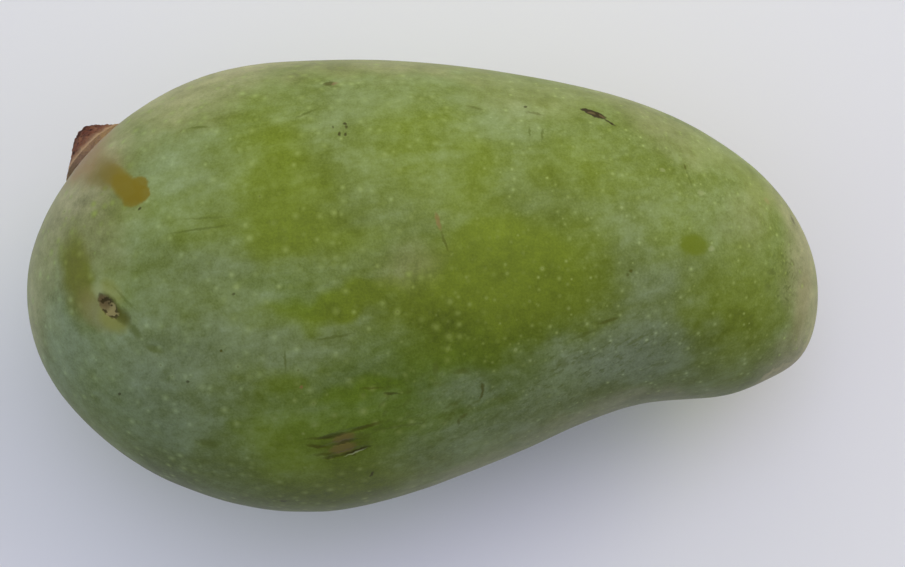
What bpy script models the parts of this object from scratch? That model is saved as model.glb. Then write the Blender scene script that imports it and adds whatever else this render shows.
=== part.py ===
# A green mango lying on its flatter cheek, with the dry stub of its stem still on it.
# Metres, +Z up. X runs along the fruit, from the stem end (-X) to the beak end (+X).
# The origin is on the surface that the fruit lies on, under the middle of its box.

import math

import bmesh
import bpy
import numpy as np

MM = 0.001

# The fruit, seen from above: the two edges of its outline at stations along X.
LENGTH = 132 * MM
STEM_TIP_Y = -0.7 * MM
BEAK_TIP_Y = -1.5 * MM
UPPER_EDGE_MM = (9.7, 20.9, 30.2, 36.0, 37.7, 37.3, 35.2, 31.7, 25.9, 18.0, 8.7)
LOWER_EDGE_MM = (-12.1, -21.9, -30.4, -36.0, -37.8, -33.9, -27.2, -21.1, -18.9, -15.8, -11.25)

# The fruit, seen from the side.
HALF_THICKNESS = 30.3 * MM
STEM_END_FULLNESS = 0.17
END_ROUNDING = 0.2
CHEEK_FULLNESS = 0.025
LEAN = 0.055
FLAT_SPOT_DEPTH = 0.4 * MM

# The stub of the stem, on the shoulder at the stem end.
STEM_X = -56.1 * MM
STEM_Y = 22.2 * MM
STEM_DROP = 5.6 * MM
STEM_BEARING = math.radians(137)
STEM_DIP = math.radians(-8)
STEM_BASE_RADIUS = 6.4 * MM
STEM_END_RADIUS = 1.9 * MM
STEM_HEIGHT = 4.1 * MM
STEM_FLARE = 1.26
STEM_END_SLANT = 0.38
STEM_END_DISH = 0.4 * MM
STEM_ROOT = 3.2 * MM
STEM_ROOT_RADIUS = 5.6 * MM
PIT_DEPTH = 1.3 * MM
PIT_RADIUS = 8.5 * MM
GROWING_GAP = 0.3 * MM

# Ribs round the stub: how many, how high as a share of its radius, and where they start.
STEM_RIBS = ((3, 0.05, 0.6), (7, 0.045, 2.1), (11, 0.03, 0.0))
RIBS_AT_BASE = 0.35
RIBS_AT_END = 1.25

# How finely the two solids are divided.
FRUIT_RINGS = 54
FRUIT_SIDES = 60
STEM_SIDES = 28
STEM_RINGS = 9

# Broad swellings and hollows: place, outward direction, height and reach, the lengths in millimetres.
SWELLINGS = (
    ("beak", (52.0, -18.2, 28.0), (0.3, -1.0, 0.0), 0.6, 6.5),
    ("sinus", (37.0, -20.0, 29.0), (0.1, 1.0, 0.0), 0.3, 9.0),
    ("upper cheek", (-22.0, 8.0, 61.0), (0.0, 0.0, 1.0), 0.6, 30.0),
    ("shoulder hollow", (-44.0, 16.0, 47.0), (0.5, -0.4, -0.8), 0.5, 14.0),
    ("tail ridge", (34.0, 8.0, 50.0), (0.0, 0.3, 1.0), 0.6, 16.0),
)


def clear_scene():
    for thing in list(bpy.data.objects):
        bpy.data.objects.remove(thing, do_unlink=True)


def make_material(name, colour, roughness):
    material = bpy.data.materials.new(name)
    material.use_nodes = True
    shader = material.node_tree.nodes["Principled BSDF"]
    shader.inputs["Base Color"].default_value = (*colour, 1.0)
    shader.inputs["Roughness"].default_value = roughness
    shader.inputs["Metallic"].default_value = 0.0
    return material


def closed_spline(heights, angles):
    """A smooth closed curve's height at some angles, through heights that are evenly spaced round it."""
    count = len(heights)
    step = 2 * math.pi / count
    ahead = np.roll(heights, -1)
    behind = np.roll(heights, 1)
    ring = np.eye(count)
    bend_matrix = (4 * ring + np.roll(ring, 1, axis=1) + np.roll(ring, -1, axis=1)) / 6
    bends = np.linalg.solve(bend_matrix, (ahead - 2 * heights + behind) / step**2)
    place = np.mod(angles, 2 * math.pi) / step
    before = np.floor(place).astype(int) % count
    after = (before + 1) % count
    share = place - np.floor(place)
    rest = 1 - share
    bow = (rest**3 - rest) * bends[before] + (share**3 - share) * bends[after]
    return rest * heights[before] + share * heights[after] + bow * step**2 / 6


def outline_heights():
    """The outline's heights all round: along the upper edge from the stem tip, then back along the lower edge."""
    upper = np.array(UPPER_EDGE_MM) * MM
    lower = np.array(LOWER_EDGE_MM) * MM
    return np.concatenate([[STEM_TIP_Y], upper, [BEAK_TIP_Y], lower[::-1]])


def half_thickness(along):
    """Half the fruit's thickness, fuller at the stem end, from the angle along it: 0 at the stem tip."""
    lengthways = np.cos(along)
    shape = 1 + STEM_END_FULLNESS * lengthways + END_ROUNDING * lengthways**2
    return HALF_THICKNESS * np.sin(along) * shape


def swell(points, centre, direction, height, reach):
    """Moves points along a direction by a height that fades away from a centre as a bell does."""
    heading = np.array(direction) / np.linalg.norm(direction)
    distance = np.linalg.norm(points - np.array(centre), axis=-1)
    return points + heading * (height * np.exp(-((distance / reach) ** 2)))[..., None]


def stem_direction():
    level = math.cos(STEM_DIP)
    return np.array([level * math.cos(STEM_BEARING), level * math.sin(STEM_BEARING), math.sin(STEM_DIP)])


def fruit_points(along, around):
    """The fruit's surface: an oval across each station, between the two edges and as thick as the station."""
    heights = outline_heights()
    upper = closed_spline(heights, along)
    lower = closed_spline(heights, -along)
    fullness = 1 + CHEEK_FULLNESS * np.sin(2 * around) ** 2
    x = -LENGTH / 2 * np.cos(along)
    y = (upper + lower) / 2 + (upper - lower) / 2 * np.cos(around) * fullness
    z = HALF_THICKNESS - LEAN * x + half_thickness(along) * np.sin(around) * fullness
    points = np.stack(np.broadcast_arrays(x, y, z), axis=-1)
    for _, centre, direction, height, reach in SWELLINGS:
        points = swell(points, np.array(centre) * MM, direction, height * MM, reach * MM)
    return swell(points, stem_foot(), stem_direction(), -PIT_DEPTH, PIT_RADIUS)


def stem_foot():
    """Where the stub's axis crosses the shoulder, a little below the fruit's widest line."""
    return np.array([STEM_X, STEM_Y, HALF_THICKNESS - LEAN * STEM_X - STEM_DROP])


def mesh_object(name, points, faces, material):
    mesh = bpy.data.meshes.new(name)
    mesh.from_pydata([tuple(point) for point in points], [], faces)
    mesh.materials.append(material)
    made = bpy.data.objects.new(name, mesh)
    bpy.context.scene.collection.objects.link(made)
    return made


def ringed_faces(rings, sides):
    """Faces of rings of points laid one after another, closed at each end by one more point."""
    faces = []
    first_end = rings * sides
    last_end = first_end + 1
    for ring in range(rings - 1):
        for side in range(sides):
            here = ring * sides + side
            beside = ring * sides + (side + 1) % sides
            faces.append((here, beside, beside + sides, here + sides))
    for side in range(sides):
        beside = (side + 1) % sides
        faces.append((first_end, beside, side))
        faces.append((last_end, (rings - 1) * sides + side, (rings - 1) * sides + beside))
    return faces


def outward(mesh):
    """Turns every face of a closed mesh outwards."""
    work = bmesh.new()
    work.from_mesh(mesh)
    bmesh.ops.recalc_face_normals(work, faces=work.faces)
    work.to_mesh(mesh)
    work.free()


def lay_on_surface(mesh):
    """Drops the fruit a little below z = 0 and slices it there, which leaves its small flat spot."""
    work = bmesh.new()
    work.from_mesh(mesh)
    lowest = min(vertex.co.z for vertex in work.verts)
    bmesh.ops.translate(work, vec=(0, 0, -lowest - FLAT_SPOT_DEPTH), verts=work.verts)
    everything = work.verts[:] + work.edges[:] + work.faces[:]
    cut = bmesh.ops.bisect_plane(
        work, geom=everything, plane_co=(0, 0, 0), plane_no=(0, 0, -1), clear_outer=True
    )
    rim = [part for part in cut["geom_cut"] if isinstance(part, bmesh.types.BMEdge)]
    bmesh.ops.contextual_create(work, geom=rim)
    bmesh.ops.recalc_face_normals(work, faces=work.faces)
    work.to_mesh(mesh)
    work.free()
    return -lowest - FLAT_SPOT_DEPTH


def make_fruit(material):
    along = np.linspace(0, math.pi, FRUIT_RINGS + 1)[1:-1]
    around = np.linspace(0, 2 * math.pi, FRUIT_SIDES, endpoint=False)
    body = fruit_points(along[:, None], around[None, :]).reshape(-1, 3)
    tips = fruit_points(np.array([0.0, math.pi]), np.zeros(2))
    faces = ringed_faces(FRUIT_RINGS - 1, FRUIT_SIDES)
    fruit = mesh_object("fruit", np.vstack([body, tips]), faces, material)
    outward(fruit.data)
    drop = lay_on_surface(fruit.data)
    return fruit, drop


def stem_points(grown):
    """The stub in its own frame, its axis along +Z: a root, then a ribbed flare up to a slanted end."""
    turn = np.linspace(0, 2 * math.pi, STEM_SIDES, endpoint=False)
    climb = np.linspace(0, 1, STEM_RINGS - 1)
    flare = STEM_END_RADIUS + (STEM_BASE_RADIUS - STEM_END_RADIUS) * (1 - climb) ** STEM_FLARE
    height = np.concatenate([[-STEM_ROOT - grown], climb * STEM_HEIGHT])
    radius = np.concatenate([[STEM_ROOT_RADIUS], flare]) + grown
    raised = np.concatenate([[0.0], climb])[:, None]
    ribs = sum(share * np.sin(count * turn + start) for count, share, start in STEM_RIBS)
    ribbed = radius[:, None] * (1 + ribs * (RIBS_AT_BASE + (RIBS_AT_END - RIBS_AT_BASE) * raised))
    x = ribbed * np.cos(turn)
    y = ribbed * np.sin(turn)
    z = height[:, None] + STEM_END_SLANT * x * raised**2
    rings = np.stack([x, y, z], axis=-1).reshape(-1, 3)
    root = [[0, 0, -STEM_ROOT - grown]]
    end = [[0, 0, STEM_HEIGHT - STEM_END_DISH]]
    return np.vstack([rings, root, end])


def stem_to_world(points, drop):
    """Carries points from the stub's frame, whose x runs along the shoulder, to the shoulder itself."""
    axis = stem_direction()
    along_shoulder = np.array([math.sin(STEM_BEARING), -math.cos(STEM_BEARING), 0])
    across = np.cross(axis, along_shoulder)
    foot = stem_foot() + np.array([0, 0, drop])
    return foot + points @ np.stack([along_shoulder, across, axis])


def make_stem(name, grown, drop, material):
    points = stem_to_world(stem_points(grown), drop)
    made = mesh_object(name, points, ringed_faces(STEM_RINGS, STEM_SIDES), material)
    outward(made.data)
    return made


def cut_socket(fruit, cutter):
    """The fruit closes round the stub's root, so its socket is the root's own shape with a small gap."""
    cutter.hide_render = True
    cutter.display_type = "WIRE"
    socket = fruit.modifiers.new("stem socket", "BOOLEAN")
    socket.operation = "DIFFERENCE"
    socket.solver = "EXACT"
    socket.object = cutter


def centre_on_origin(fruit, others):
    """Moves everything sideways so that the middle of the fruit's box stands over the origin."""
    corners = np.array([vertex.co[:] for vertex in fruit.data.vertices])
    middle = (corners.min(axis=0) + corners.max(axis=0)) / 2
    for thing in [fruit, *others]:
        thing.location.x = -middle[0]
        thing.location.y = -middle[1]


def main():
    clear_scene()
    skin = make_material("mango skin", (0.16, 0.22, 0.07), 0.55)
    dry_stem = make_material("dry stem", (0.14, 0.065, 0.045), 0.85)
    fruit, drop = make_fruit(skin)
    stem = make_stem("stem", 0.0, drop, dry_stem)
    cutter = make_stem("stem_socket_cutter", GROWING_GAP, drop, dry_stem)
    cut_socket(fruit, cutter)
    centre_on_origin(fruit, [stem, cutter])
    for thing in (fruit, stem):
        thing.data.shade_smooth()
        thing.data.set_sharp_from_angle(angle=math.radians(35))


main()
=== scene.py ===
# Dresses the mango: a fine skin with its bloom, lenticels and scars, and the broken stub of its stem.

import math

import bpy
import numpy as np
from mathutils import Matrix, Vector


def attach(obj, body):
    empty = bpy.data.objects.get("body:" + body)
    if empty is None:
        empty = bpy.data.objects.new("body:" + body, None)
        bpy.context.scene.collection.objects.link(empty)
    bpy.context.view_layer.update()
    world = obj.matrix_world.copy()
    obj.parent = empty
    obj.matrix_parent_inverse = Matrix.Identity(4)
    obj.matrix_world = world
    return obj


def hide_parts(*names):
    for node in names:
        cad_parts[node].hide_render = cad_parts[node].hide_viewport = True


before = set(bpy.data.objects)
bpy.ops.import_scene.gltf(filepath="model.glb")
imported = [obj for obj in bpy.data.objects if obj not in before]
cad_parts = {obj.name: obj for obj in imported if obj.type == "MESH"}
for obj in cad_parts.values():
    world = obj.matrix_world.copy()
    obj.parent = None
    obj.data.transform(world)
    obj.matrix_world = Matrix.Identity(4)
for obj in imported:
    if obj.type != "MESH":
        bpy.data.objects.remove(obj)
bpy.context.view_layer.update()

mm = 0.001


# Shapes, in millimetres until they become a mesh

mango = {
    "length": 131.99,  # a hair inside the solid's 132
    "stemTip": -0.7,  # the outline's height at its two ends
    "beakTip": -1.5,
    "upperEdge": (9.7, 20.9, 30.2, 36.0, 37.7, 37.3, 35.2, 31.7, 25.9, 18.0, 8.7),
    "lowerEdge": (-12.1, -21.9, -30.4, -36.0, -37.8, -33.9, -27.2, -21.1, -18.9, -15.8, -11.25),
    "halfThickness": 30.3,
    "stemEndFullness": 0.17,
    "endRounding": 0.2,
    "cheekFullness": 0.025,
    "lean": 0.055,
    "flatSpotDepth": 0.4,
    "swellings": (  # place, direction, height, reach
        ((52.0, -18.2, 28.0), (0.3, -1.0, 0.0), 0.6, 6.5),
        ((37.0, -20.0, 29.0), (0.1, 1.0, 0.0), 0.3, 9.0),
        ((-22.0, 8.0, 61.0), (0.0, 0.0, 1.0), 0.6, 30.0),
        ((-44.0, 16.0, 47.0), (0.5, -0.4, -0.8), 0.5, 14.0),
        ((34.0, 8.0, 50.0), (0.0, 0.3, 1.0), 0.6, 16.0),
    ),
    "pitDepth": 1.3,  # the dip round the stem
    "pitRadius": 8.5,
    "stemRing": 1.3,  # brown film all round the stem
    "stemRingReach": 7.5,
    "upperTonesFrom": 20.0,  # height where the upper half's tones begin
    "lowerTonesTo": 30.0,  # and where the underside's end
    "tonesFade": 10.0,
    "underside": {  # amount, wavelength and seed of the ripples that tone the lower half
        "bloom": (0.5, 26, 41),
        "shade": (0.1, 18, 42),
        "russetAndSheen": (0.5, 34, 43),
        "rough": (0.6, 30, 44),
    },
    "rings": 300,
    "sides": 328,
}

stub = {
    "x": -56.1,
    "y": 22.2,
    "drop": 5.6,  # below the fruit's widest line
    "bearing": math.radians(137),
    "dip": math.radians(-8),
    "baseRadius": 6.8,
    "endRadius": 2.2,
    "height": 3.95,
    "flare": 1.18,
    "endShift": 0.3,
    "endSlant": 0.21,
    "endPinch": 0.12,
    "root": 2.6,
    "ribs": (  # count, amount, phase
        (3, 0.04, 0.6),
        (7, 0.045, 2.1),
        (11, 0.03, 0.0),
        (19, 0.015, 1.0),
    ),
    "ribsAtFoot": 0.3,  # how strong they are at the foot
    "lumps": 0.17,
    "lumpWaves": (  # share, wavelength, squeeze along the stub, seed
        (1.0, 1.5, 0.45, 31),
        (0.5, 0.6, 0.6, 32),
    ),
    "splinters": 0.12,
    "splinterWave": (1.1, 33),  # wavelength and seed
    "splinterCount": 5,
    "endDome": 0.6,
    "endLumps": 0.3,
    "endLumpWave": (1.2, 34),
    "endShrink": (0.92, 0.08),  # first and last of the rings that close the end
    "rimBark": (0.98, 0.07),  # how far up the bark round the end sits, and its reach
    # darkness down the two flanks seen from above, painted shade
    "paintedFlankShade": 0.8,
    "endBark": 0.5,
    "middleBark": 0.3,
    "rings": 90,
    "endRings": 16,
    "sides": 220,
}


def closedSpline(heights, angles):
    # A periodic cubic: each stretch is a straight blend of its two heights plus a bow from their bends,
    # and the bends come from one circulant system that makes the slope continuous.
    count = len(heights)
    step = 2 * np.pi / count
    ring = np.eye(count)
    system = (4 * ring + np.roll(ring, 1, axis=1) + np.roll(ring, -1, axis=1)) / 6
    bends = np.linalg.solve(system, (np.roll(heights, -1) - 2 * heights + np.roll(heights, 1)) / step**2)
    place = np.mod(angles, 2 * np.pi) / step
    before = np.floor(place).astype(int) % count
    after = (before + 1) % count
    share = place - np.floor(place)
    rest = 1 - share
    bow = (rest**3 - rest) * bends[before] + (share**3 - share) * bends[after]
    return rest * heights[before] + share * heights[after] + bow * step**2 / 6


def bell(points, centre, reach):
    # exp(-(distance / reach)^2)
    return np.exp(-(np.linalg.norm(points - np.array(centre), axis=-1) / reach) ** 2)


def swell(points, centre, direction, height, reach):
    # Points moved along one direction by a bell of that height round the centre.
    heading = np.array(direction) / np.linalg.norm(direction)
    return points + heading * (height * bell(points, centre, reach))[..., None]


def stemAxis():
    # The unit vector along the stub, from its bearing seen from above and its dip.
    level = math.cos(stub["dip"])
    bearing = stub["bearing"]
    return np.array([level * math.cos(bearing), level * math.sin(bearing), math.sin(stub["dip"])])


def stemFoot():
    # The middle of the stub's foot, that far below the fruit's widest line, which leans.
    widest = mango["halfThickness"] - mango["lean"] * stub["x"]
    return np.array([stub["x"], stub["y"], widest - stub["drop"]])


def mangoSurface(along, around):
    # Each station is an oval between the outline's two edges, as thick as the station asks:
    # x = -length / 2 * cos(along), y = middle + half width * cos(around),
    # z = axis height + half thickness * sin(around), and then the swellings and the pit.
    m = mango
    outline = np.concatenate([[m["stemTip"]], m["upperEdge"], [m["beakTip"]], m["lowerEdge"][::-1]])
    upper = closedSpline(outline, along)
    lower = closedSpline(outline, -along)
    lengthways = np.cos(along)
    thickness = np.sin(along) * (1 + m["stemEndFullness"] * lengthways + m["endRounding"] * lengthways**2)
    fullness = 1 + m["cheekFullness"] * np.sin(2 * around) ** 2
    x = -m["length"] / 2 * lengthways
    y = (upper + lower) / 2 + (upper - lower) / 2 * np.cos(around) * fullness
    z = m["halfThickness"] * (1 + thickness * np.sin(around) * fullness) - m["lean"] * x
    points = np.stack(np.broadcast_arrays(x, y, z), axis=-1)
    for centre, direction, height, reach in m["swellings"]:
        points = swell(points, centre, direction, height, reach)
    return swell(points, stemFoot(), stemAxis(), -m["pitDepth"], m["pitRadius"])


def gridNormals(points):
    # The cross product of the two central differences; the second direction closes on itself.
    down = np.gradient(points, axis=0)
    across = np.roll(points, -1, axis=1) - np.roll(points, 1, axis=1)
    normals = np.cross(across, down)
    return normals / np.maximum(np.linalg.norm(normals, axis=-1, keepdims=True), 1e-9)


def ripples(points, wavelength, seed, waves=24):
    # A sum of seeded plane waves in random directions, 0.7 to 1.5 times as long as asked, about -1 to 1.
    draw = np.random.default_rng(seed)
    directions = draw.normal(size=(waves, 3))
    directions /= np.linalg.norm(directions, axis=1, keepdims=True)
    lengths = wavelength * draw.uniform(0.7, 1.5, waves)
    phases = draw.uniform(0, 2 * np.pi, waves)
    total = np.zeros(points.shape[:-1])
    for heading, length, phase in zip(directions, lengths, phases):
        total += np.sin(points @ heading * (2 * np.pi / length) + phase)
    return total / math.sqrt(waves / 2) / 2


def newObject(name, data):
    made = bpy.data.objects.new(name, data)
    bpy.context.scene.collection.objects.link(made)
    return made


def closedMesh(name, grid, firstTip, lastTip):
    # Quads between neighbouring rings and a fan at each tip.
    rings, sides = grid.shape[:2]
    index = np.arange(rings * sides).reshape(rings, sides)
    beside = np.roll(index, -1, axis=1)
    quads = np.stack([index[:-1], beside[:-1], beside[1:], index[1:]], axis=-1).reshape(-1, 4)
    first, last = rings * sides, rings * sides + 1
    firstFan = np.stack([np.full(sides, first), beside[0], index[0]], axis=-1)
    lastFan = np.stack([np.full(sides, last), index[-1], beside[-1]], axis=-1)
    vertices = np.vstack([grid.reshape(-1, 3), firstTip, lastTip]) * mm
    faces = quads.tolist() + firstFan.tolist() + lastFan.tolist()
    mesh = bpy.data.meshes.new(name)
    mesh.from_pydata(vertices.tolist(), [], faces)
    mesh.shade_smooth()
    return newObject(name, mesh)


# Broad tones and gentle relief, worked out where the skin's points are. Every row is a soft oval: x and y
# seen from above, half length, half width, bearing in degrees, strength.

bloomTones = (  # more of the grey bloom, or less where it has been rubbed away
    (-44, -14, 24, 16, -35, 0.5),
    (-58, -8, 10, 15, 0, 0.3),
    (-26, -8, 20, 6, 4, 0.35),
    (-34, 3, 20, 11, 0, 0.2),
    (-41, 19, 14, 10, 30, 0.25),
    (-14, 29, 26, 7, 4, 0.2),
    (10, 27, 22, 7, -8, 0.25),
    (31, -12, 22, 8, 18, 0.55),
    (34, 5, 15, 9, 95, 0.35),
    (46, 8, 12, 14, 0, 0.2),
    (6, -16, 11, 5, 15, 0.25),
    (-30, 32, 17, 5, 18, 0.15),
    (10, -23, 20, 6, 20, 0.25),
    (-34, -24, 15, 8, -25, 0.15),
    (52, 24, 14, 6, -50, 0.2),
    (8, -1, 20, 13, 10, -0.6),
    (18, 3, 22, 11, -5, -0.4),
    (21, -6, 12, 5, 0, -0.2),
    (-21, 13, 15, 11, 95, -0.36),
    (-24, 26, 12, 11, 0, -0.2),
    (-14, -2.4, 18, 2.8, 11, -0.65),
    (-24, 8, 22, 5, 0, -0.2),
    (-54.2, 2.0, 11, 4.3, 100, -0.9),
    (-48, 15, 10, 6, -30, -0.25),
    (50, -2.5, 15, 13, 60, -0.4),
    (-12, -23, 20, 9, 10, -0.33),
    (-27, -25, 12, 7, 0, -0.2),
    (-13, -32, 19, 8, 0, -0.4),
    (8, 12, 13, 8, 80, -0.25),
    (-9.4, -16.4, 10, 2.2, -2, -0.45),
    (5, -10, 15, 7, 20, -0.4),
    (55, 15, 10, 6, -60, -0.25),
    (38, 8, 9, 6, 0, -0.3),
    (24, 18, 14, 8, -20, -0.2),
    (0, 26, 12, 7, 0, -0.18),
    (-14, 7, 8, 5, 0, -0.14),
    (-22, -14, 6, 5, 0, -0.18),
    (-16, -35, 12, 5, 0, -0.2),
    (24, -18, 10, 5, 15, -0.16),
    (-35, -28, 10, 6, -20, -0.12),
    (-57, -6, 7, 15, 0, 0.13),
    (-38, -17, 10, 7, 0, -0.1),
    (50, 0, 11, 6, 0, 0.1),
    (-35, 15, 7, 5, 0, 0.12),
    (-51, 13, 8, 8, 0, -0.34),
    (-16, 36, 12, 5, 0, -0.24),
    (-49, 7, 5, 4, 0, -0.1),
    (-56, 0, 7, 5, 90, 0.12),
    (21, 28, 7, 4, 0, -0.1),
    (8, 10, 7, 7, 0, 0.08),
    (-21, -14, 9, 5, 0, -0.08),
    (28, -14, 7, 5, 15, -0.09),
    (-49, -7, 6, 5, 0, -0.09),
)

toneAndPaintedLight = (  # lighter or darker skin: tone that differs at random, with painted light along the top edge and painted shade along the lower edge
    (-38, 22, 26, 15, 30, 0.11),
    (-24, 13, 24, 12, 80, 0.12),
    # painted light: lighter along the top edge, the side the light comes from
    (4, 29, 42, 10, -3, 0.16),
    (12, 20, 40, 14, -6, 0.08),
    (10, 3, 18, 9, 0, 0.1),
    (36, 14, 22, 12, -30, 0.07),
    (49, 8, 12, 18, 10, 0.14),
    (-25, -7, 16, 6, 0, 0.14),
    (-14, -21, 20, 5, 8, 0.06),
    (4, -10, 22, 8, 10, -0.17),
    # this row and the three after it: painted shade, darker along the lower side
    (-24, -34, 34, 9, -8, -0.16),
    (2, -17, 22, 8, 15, -0.03),
    (24, -14, 28, 10, 20, -0.06),
    (45, -10, 18, 9, 20, -0.02),
    (-53.8, 0.5, 9, 4, 95, -0.2),
    (-49, 14, 9, 6, -40, -0.08),
    (-50, -24, 22, 11, -50, -0.06),
    (-38, 12, 15, 10, 35, 0.16),
    (-42, -3, 12, 11, 0, 0.1),
    (0, 19, 17, 9, 0, 0.13),
    (18, 7, 12, 5, 0, 0.12),
    (-24, -24, 10, 8, 30, 0.17),
    (3, -6, 9, 5, 0, -0.1),
    # painted light along the top-left edge, then painted shade along the lower edge
    (-38, 32, 22, 8, 24, 0.1),
    (-40, -33, 20, 5, -22, -0.15),
    (44, -21, 22, 4, 3, -0.15),
    (8, 9, 8, 6, 0, 0.13),
    (31, 8, 10, 6, 0, 0.1),
    (-50, -13, 7, 6, 0, 0.12),
    (-36, -21, 7, 5, -20, 0.1),
    (-20, -28, 7, 5, 10, 0.12),
    (22, -14, 6, 5, 20, 0.15),
    (1, -3, 8, 6, 10, -0.1),
    (-12, -14, 7, 5, 0, -0.1),
    (-43, -29, 8, 6, -30, -0.1),
    (-16, 36, 12, 5, 0, -0.1),
    (-3, 17, 15, 8, 0, 0.1),
    (36, 11, 15, 9, -20, 0.1),
    (-48, 0, 7, 6, 0, 0.24),
    (-53, 12, 7, 6, 0, -0.12),
    (-38, 13, 8, 6, 0, 0.07),
    (9, -27, 12, 5, 15, 0.12),
    (-10, 7, 9, 5, 0, 0.12),
    (8, 13, 9, 7, 90, 0.08),
    (-28, 14, 6, 6, 0, 0.06),
    (-35, -24, 7, 6, 0, 0.07),
    (-21, -28, 6, 5, 0, 0.1),
    (8, -25, 9, 6, 15, 0.08),
    (-49, -14, 5, 5, 0, 0.06),
    (-49, 7, 5, 4, 0, -0.12),
    (-14, -21, 7, 5, 0, 0.09),
    (49, 21, 7, 6, 0, 0.1),
    (49, -14, 8, 5, 20, 0.1),
)

russetAndSheenTones = (  # dry beige russet, pinkish in places, along the sides; along the top and lower edges it is also painted sheen, the pale grey of skin turning away
    (-38, 32, 27, 10, 24, 0.7),
    (-57, 15, 15, 9, 50, 0.65),
    (-64, -3, 26, 6, 85, 0.65),
    (64, -1, 26, 6, 95, 0.8),
    (60, 12, 15, 4, 115, 0.35),
    (60, -14, 9, 5, 40, 0.6),
    (34, -20, 24, 3.6, 10, 0.4),
    (8, -30, 22, 4, 24, 0.35),
    (-2.3, 3.2, 8, 5, 20, 0.35),
    (-6, 36, 28, 5, -3, 0.5),
    (36, 28, 26, 6, -30, 0.38),
    (17, 30, 14, 5, -5, 0.2),
    (-51, 11, 11, 15, 0, 0.5),
    (-53.8, 2.0, 11, 5, 100, -0.35),
    (53, 12, 7, 10, -40, 0.22),
    (-58.5, 3, 4, 12, 0, 0.25),
    (-28, 36, 9, 5, 15, 0.25),
    (-49, 21, 5, 4, 0, 0.25),
)

greenerInShadeTones = (  # a purer green towards the lower side: painted shade, the greener hue of the skin where less light falls
    (-4, -17, 34, 15, 8, 1.0),
    (-22, -1, 12, 6, 0, 0.5),
    (22, -12, 14, 8, 10, 0.3),
)

hazeTones = (  # brown film round the stem
    (-55, 22, 9.0, 5.2, 52, 1.4),
    (-52.5, 17.2, 5.5, 3.0, -12, 0.6),
    (-51.5, 20.0, 5.0, 3.0, -40, 0.4),
)

roughTones = (  # small dark pits and dashes
    (28, -12, 28, 11, 18, 0.9),
    (0, -20, 26, 11, 12, 0.8),
    (-34, -16, 20, 14, -20, 0.4),
    (58.3, 0.5, 8, 4.5, 85, 1.5),
    (38, 18, 26, 9, -30, 0.5),
)

tones = {
    "bloom": bloomTones,
    "shade": toneAndPaintedLight,
    "russetAndSheen": russetAndSheenTones,
    "greenerInShade": greenerInShadeTones,
    "haze": hazeTones,
    "rough": roughTones,
}

edgePush = (  # how far, wavelength and seed of what pushes x, then y
    ((1.6, 17, 21), (0.8, 6, 22)),
    ((1.5, 15, 23), (0.8, 5, 24)),
)

relief = {
    "clearance": 0.02,  # kept below the plain surface, and so inside the solid
    "tipFade": 0.5,
    "waves": (  # wavelength, height, seed
        (24.0, 0.10, 3),
        (9.0, 0.045, 5),
        (4.0, 0.015, 8),
    ),
    "dents": (  # x, y, half length, half width, bearing, height
        (-41.3, -9.5, 2.6, 1.2, -15, -0.16),
        (-33.9, -24.2, 2.8, 1.2, -8, -0.14),
        (-47.8, -3.9, 4.6, 2.4, -45, 0.12),
        (-48.9, -3.0, 2.6, 1.3, -45, -0.28),
        (-12.9, -24.6, 5.6, 2.2, 14, -0.16),
        (27.3, 27.2, 2.8, 1.0, -22, -0.14),
        (-45.6, 15.2, 4.2, 2.6, -35, 0.05),
        (8.0, -18.0, 9.0, 4.0, 20, -0.12),
        (22.0, -14.0, 9.0, 3.5, 15, -0.12),
    ),
}


def ovals(points, table):
    # Each oval adds strength * (1 - t)^2 out to t = 1, where t is the squared distance in the oval's own
    # turned frame, and only on the upper half of the fruit.
    total = np.zeros(points.shape[:-1])
    upper = np.clip((points[..., 2] - mango["upperTonesFrom"]) / mango["tonesFade"], 0, 1)
    for x, y, long, wide, bearing, strength in table:
        turn = math.radians(bearing)
        right, up = points[..., 0] - x, points[..., 1] - y
        forward = right * math.cos(turn) + up * math.sin(turn)
        sideways = up * math.cos(turn) - right * math.sin(turn)
        t = np.minimum((forward / long) ** 2 + (sideways / wide) ** 2, 1)
        total += strength * (1 - t) ** 2 * upper
    return total


def brushed(points):
    # The same points pushed about by slow ripples, so that ovals drawn with them get ragged edges.
    push = np.zeros(points.shape)
    for axis, waves in enumerate(edgePush):
        for amount, wavelength, seed in waves:
            push[..., axis] += amount * ripples(points, wavelength, seed)
    return points + push


def store(piece, name, values, kind="FLOAT"):
    # One value for each point of the piece, which its material reads by name.
    layer = piece.data.attributes.new(name, kind, "POINT")
    field = "vector" if kind == "FLOAT_VECTOR" else "value"
    layer.data.foreach_set(field, np.ravel(values).astype(np.float32))


def pointsOf(piece):
    # The piece's points in millimetres.
    places = np.empty(len(piece.data.vertices) * 3, np.float32)
    piece.data.vertices.foreach_get("co", places)
    return places.reshape(-1, 3) / mm


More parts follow.
